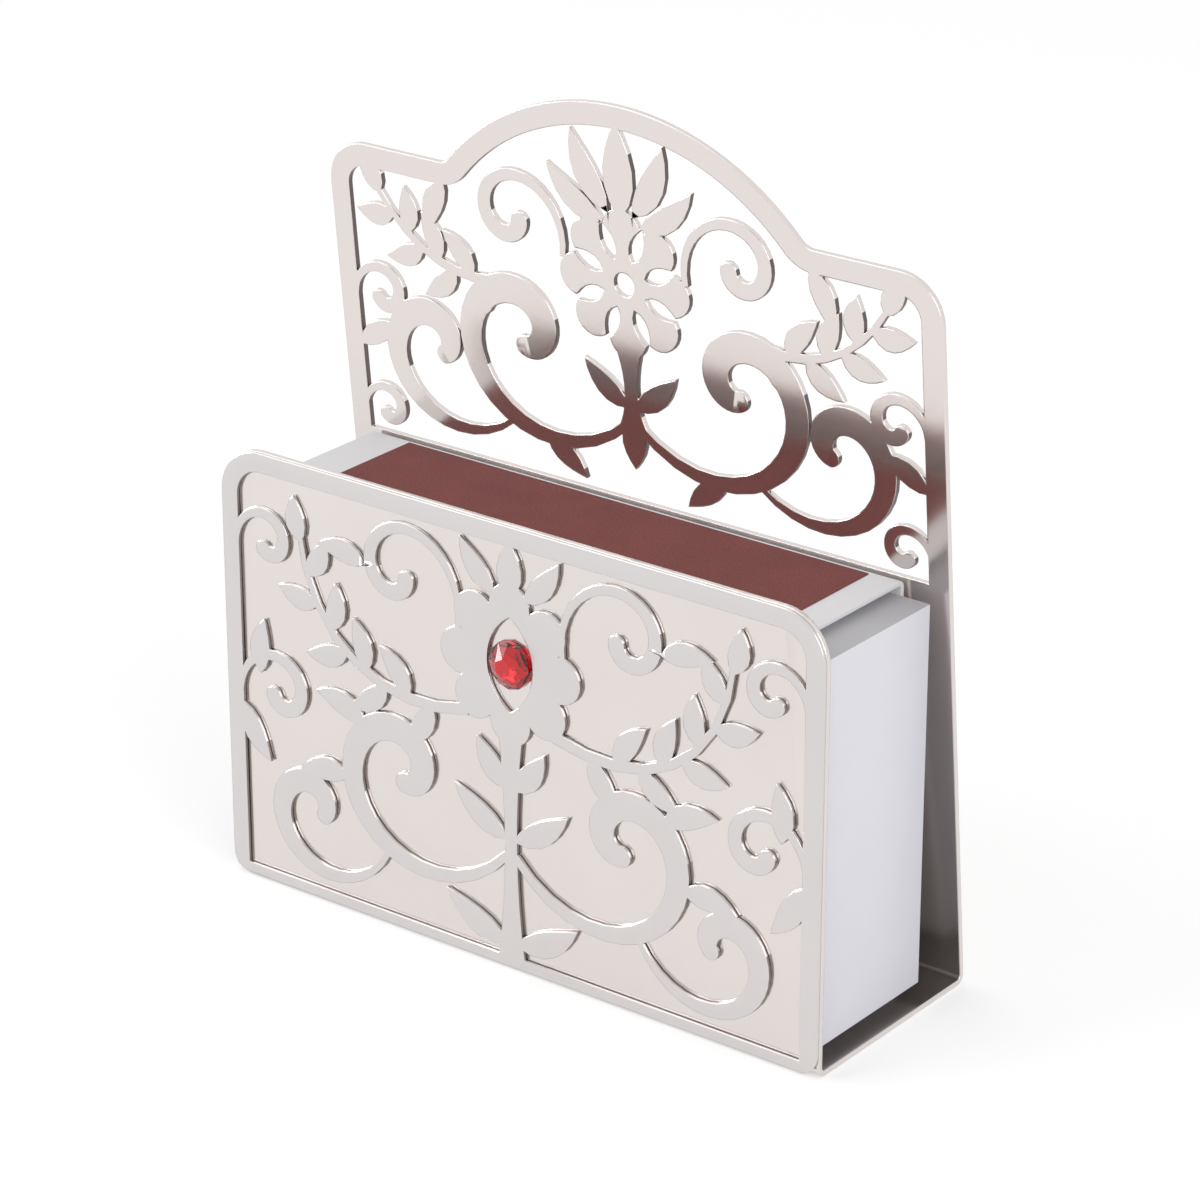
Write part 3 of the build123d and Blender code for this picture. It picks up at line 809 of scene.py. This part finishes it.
class HOLDER_OT_stone(bpy.types.Operator):
    """Cut the round red stone and lay its foil"""
    bl_idname = "holder.stone"
    bl_label = "Stone"

    def execute(self, context):
        settings = context.scene.holder.stone
        glass = self.cut(settings)
        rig.replaces(glass, "stone")
        for piece in (glass, self.foil(settings)):
            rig.ride(piece, "holder")
            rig.slot(piece, "red_glass")
        return {"FINISHED"}

    def ring(self, shape, count, turn, radius_share, rise_share):
        """Corners about the stone's middle, at a height above its flat back."""
        radius = stone_radius * radius_share
        y = stone_high.y - stone_height * rise_share
        corners = []
        for i in range(count):
            angle = 2 * pi * (i + turn) / count
            place = (stone_middle.x + radius * sin(angle), y, stone_middle.z + radius * cos(angle))
            corners.append(shape.verts.new(place))
        return corners

    def cut(self, settings):
        """Low crown of a few broad facets over a girdle and a flat back."""
        n = settings.facets
        shape = bmesh.new()
        back = self.ring(shape, 2 * n, 0, 1, 0)
        girdle = self.ring(shape, 2 * n, 0, 1, settings.girdle_share)
        table = self.ring(shape, n, 0, settings.table_share, settings.top_share)
        shape.faces.new(back)
        shape.faces.new(table)
        for i in range(n):
            here, after = table[i], table[(i + 1) % n]
            left, middle, right = girdle[2 * i], girdle[2 * i + 1], girdle[(2 * i + 2) % (2 * n)]
            shape.faces.new((here, left, middle))
            shape.faces.new((here, middle, after))
            shape.faces.new((after, middle, right))
        for i in range(2 * n):
            j = (i + 1) % (2 * n)
            shape.faces.new((back[i], back[j], girdle[j], girdle[i]))
        bmesh.ops.recalc_face_normals(shape, faces=shape.faces)
        crystal = red_crystal("red_cut_crystal", settings.colour)
        return object_of_shape("cut_stone", shape, [crystal])

    def foil(self, settings):
        """Foil pad inside the back of the glass, pressed into a shallow cup of large facets."""
        rim_share, rim_rise_share, tip_rise_share, back_rise_share = 0.93, 0.24, 0.04, 0.02
        half_facet = 0.5
        count = settings.foil_facets
        shape = bmesh.new()
        rim = self.ring(shape, count, half_facet, rim_share, rim_rise_share)
        back = self.ring(shape, count, half_facet, rim_share, back_rise_share)
        tip = self.ring(shape, 1, 0, 0, tip_rise_share)[0]
        shape.faces.new(back)
        for here, after, under, beside in zip(rim, rim[1:] + rim[:1], back, back[1:] + back[:1]):
            shape.faces.new((here, after, tip))
            shape.faces.new((here, after, beside, under))
        bmesh.ops.recalc_face_normals(shape, faces=shape.faces)
        foil = mirror_foil("silvered_foil", settings.foil_colour)
        return object_of_shape("stone_foil", shape, [foil])


class HOLDER_OT_sleeve(bpy.types.Operator):
    """Finish the card sleeve and its two striking strips"""
    bl_idname = "holder.sleeve"
    bl_label = "Sleeve"

    def execute(self, context):
        box = context.scene.holder.box
        sleeve = dress("sleeve", coated_card("coated_sleeve_card", box.card_colour))
        soften(sleeve, box.card_round)
        paint = striking_paint("striking_paint", box.striker_colour)
        dress("striker_top", paint)
        dress("striker_bottom", paint)
        return {"FINISHED"}


class HOLDER_OT_tray(bpy.types.Operator):
    """Finish the card tray, with its upper and lower narrow sides in a greyer card colour"""
    bl_idname = "holder.tray"
    bl_label = "Tray"

    def execute(self, context):
        box = context.scene.holder.box
        tray = dress("tray", coated_card("coated_tray_card", box.tray_colour),
                     coated_card("grey_tray_sides_card", box.tray_side_colour))
        # Slot 1 makes the narrow sides that face up and down greyer.
        outermost = 0.01 * mm
        for polygon in tray.data.polygons:
            depth = min(polygon.center.z - tray_low.z, tray_high.z - polygon.center.z)
            if abs(polygon.normal.z) > along_share and depth < outermost:
                polygon.material_index = 1
        soften(tray, box.card_round)
        return {"FINISHED"}


class HOLDER_OT_matches(bpy.types.Operator):
    """Finish the sticks and dip their heads"""
    bl_idname = "holder.matches"
    bl_label = "Matches"

    def execute(self, context):
        matches = context.scene.holder.matches
        dress("match_sticks", split_aspen("split_aspen", matches.wood_pale, matches.wood_dark))
        heads = self.heads(match_compound("match_compound", matches.head_colour))
        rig.replaces(heads, "match_heads")
        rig.ride(heads, "drawer")
        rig.slot(heads, "match_compound")
        return {"FINISHED"}

    def heads(self, compound):
        """One bulb for each head, thick at its middle and a little uneven."""
        # Shares of the head's length and of its radius, from the stick to the tip.
        profile = [(0.0, 0.78), (0.10, 0.90), (0.35, 1.0), (0.62, 0.97), (0.82, 0.78), (0.94, 0.48)]
        sides = 16
        run_stretch, head_step = 2, 7.3         # in the noise: along a head, and head to head
        even_share, uneven_share = 0.97, 0.05
        shape = bmesh.new()
        for number, (low, high) in enumerate(solid_boxes("match_heads")):
            middle = (low + high) / 2
            radius = (high.z - low.z) / 2
            length = high.x - low.x
            rings = []
            for run, reach in profile:
                ring = []
                for i in range(sides):
                    angle = 2 * pi * i / sides
                    spot = Vector((run * run_stretch, cos(angle), sin(angle)))
                    spot += Vector((number * head_step, 0, 0))
                    share = reach * (even_share + uneven_share * noise.noise(spot))
                    out = min(radius, radius * share)
                    place = (low.x + run * length, middle.y + out * cos(angle),
                             middle.z + out * sin(angle))
                    ring.append(shape.verts.new(place))
                rings.append(ring)
            tip = shape.verts.new((high.x, middle.y, middle.z))
            for first, second in zip(rings, rings[1:]):
                for i in range(sides):
                    j = (i + 1) % sides
                    shape.faces.new((first[i], first[j], second[j], second[i]))
            for i in range(sides):
                shape.faces.new((rings[-1][i], rings[-1][(i + 1) % sides], tip))
            shape.faces.new(rings[0])
        bmesh.ops.recalc_face_normals(shape, faces=shape.faces)
        heads = object_of_shape("dipped_heads", shape, [compound])
        heads.data.shade_smooth()
        return heads


class HOLDER_PT_panel(bpy.types.Panel):
    bl_label = "Matchbox holder"
    bl_space_type = "VIEW_3D"
    bl_region_type = "UI"
    bl_category = "Matchbox holder"

    def draw(self, context):
        settings = context.scene.holder
        groups = (
            (HOLDER_OT_stage, settings.stage),
            (HOLDER_OT_steel_sheet, settings.steel),
            (HOLDER_OT_overlay, None),
            (HOLDER_OT_stone, settings.stone),
            (HOLDER_OT_sleeve, settings.box),
            (HOLDER_OT_tray, None),
            (HOLDER_OT_matches, settings.matches),
        )
        for operator, group in groups:
            box = self.layout.box()
            box.operator(operator.bl_idname)
            for name in (group.bl_rna.properties.keys() if group else ()):
                if name not in ("rna_type", "name"):
                    box.prop(group, name)


classes = (
    StageSettings,
    SteelSettings,
    StoneSettings,
    BoxSettings,
    MatchSettings,
    HolderSettings,
    HOLDER_OT_stage,
    HOLDER_OT_steel_sheet,
    HOLDER_OT_overlay,
    HOLDER_OT_stone,
    HOLDER_OT_sleeve,
    HOLDER_OT_tray,
    HOLDER_OT_matches,
    HOLDER_PT_panel,
)


def register():
    for entry in classes:
        bpy.utils.register_class(entry)
    bpy.types.Scene.holder = PointerProperty(type=HolderSettings)


def unregister():
    del bpy.types.Scene.holder
    for entry in reversed(classes):
        bpy.utils.unregister_class(entry)


def main():
    register()
    bpy.ops.holder.stage()
    bpy.ops.holder.steel_sheet()
    bpy.ops.holder.overlay()
    bpy.ops.holder.stone()
    bpy.ops.holder.sleeve()
    bpy.ops.holder.tray()
    bpy.ops.holder.matches()
    visual_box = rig.bounds()
    sizes = {"cad": [list(corner) for corner in cad_box], "visual": [list(corner) for corner in visual_box]}
    with open("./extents.json", "w") as file:
        json.dump(sizes, file)


if __name__ == "__main__":
    main()
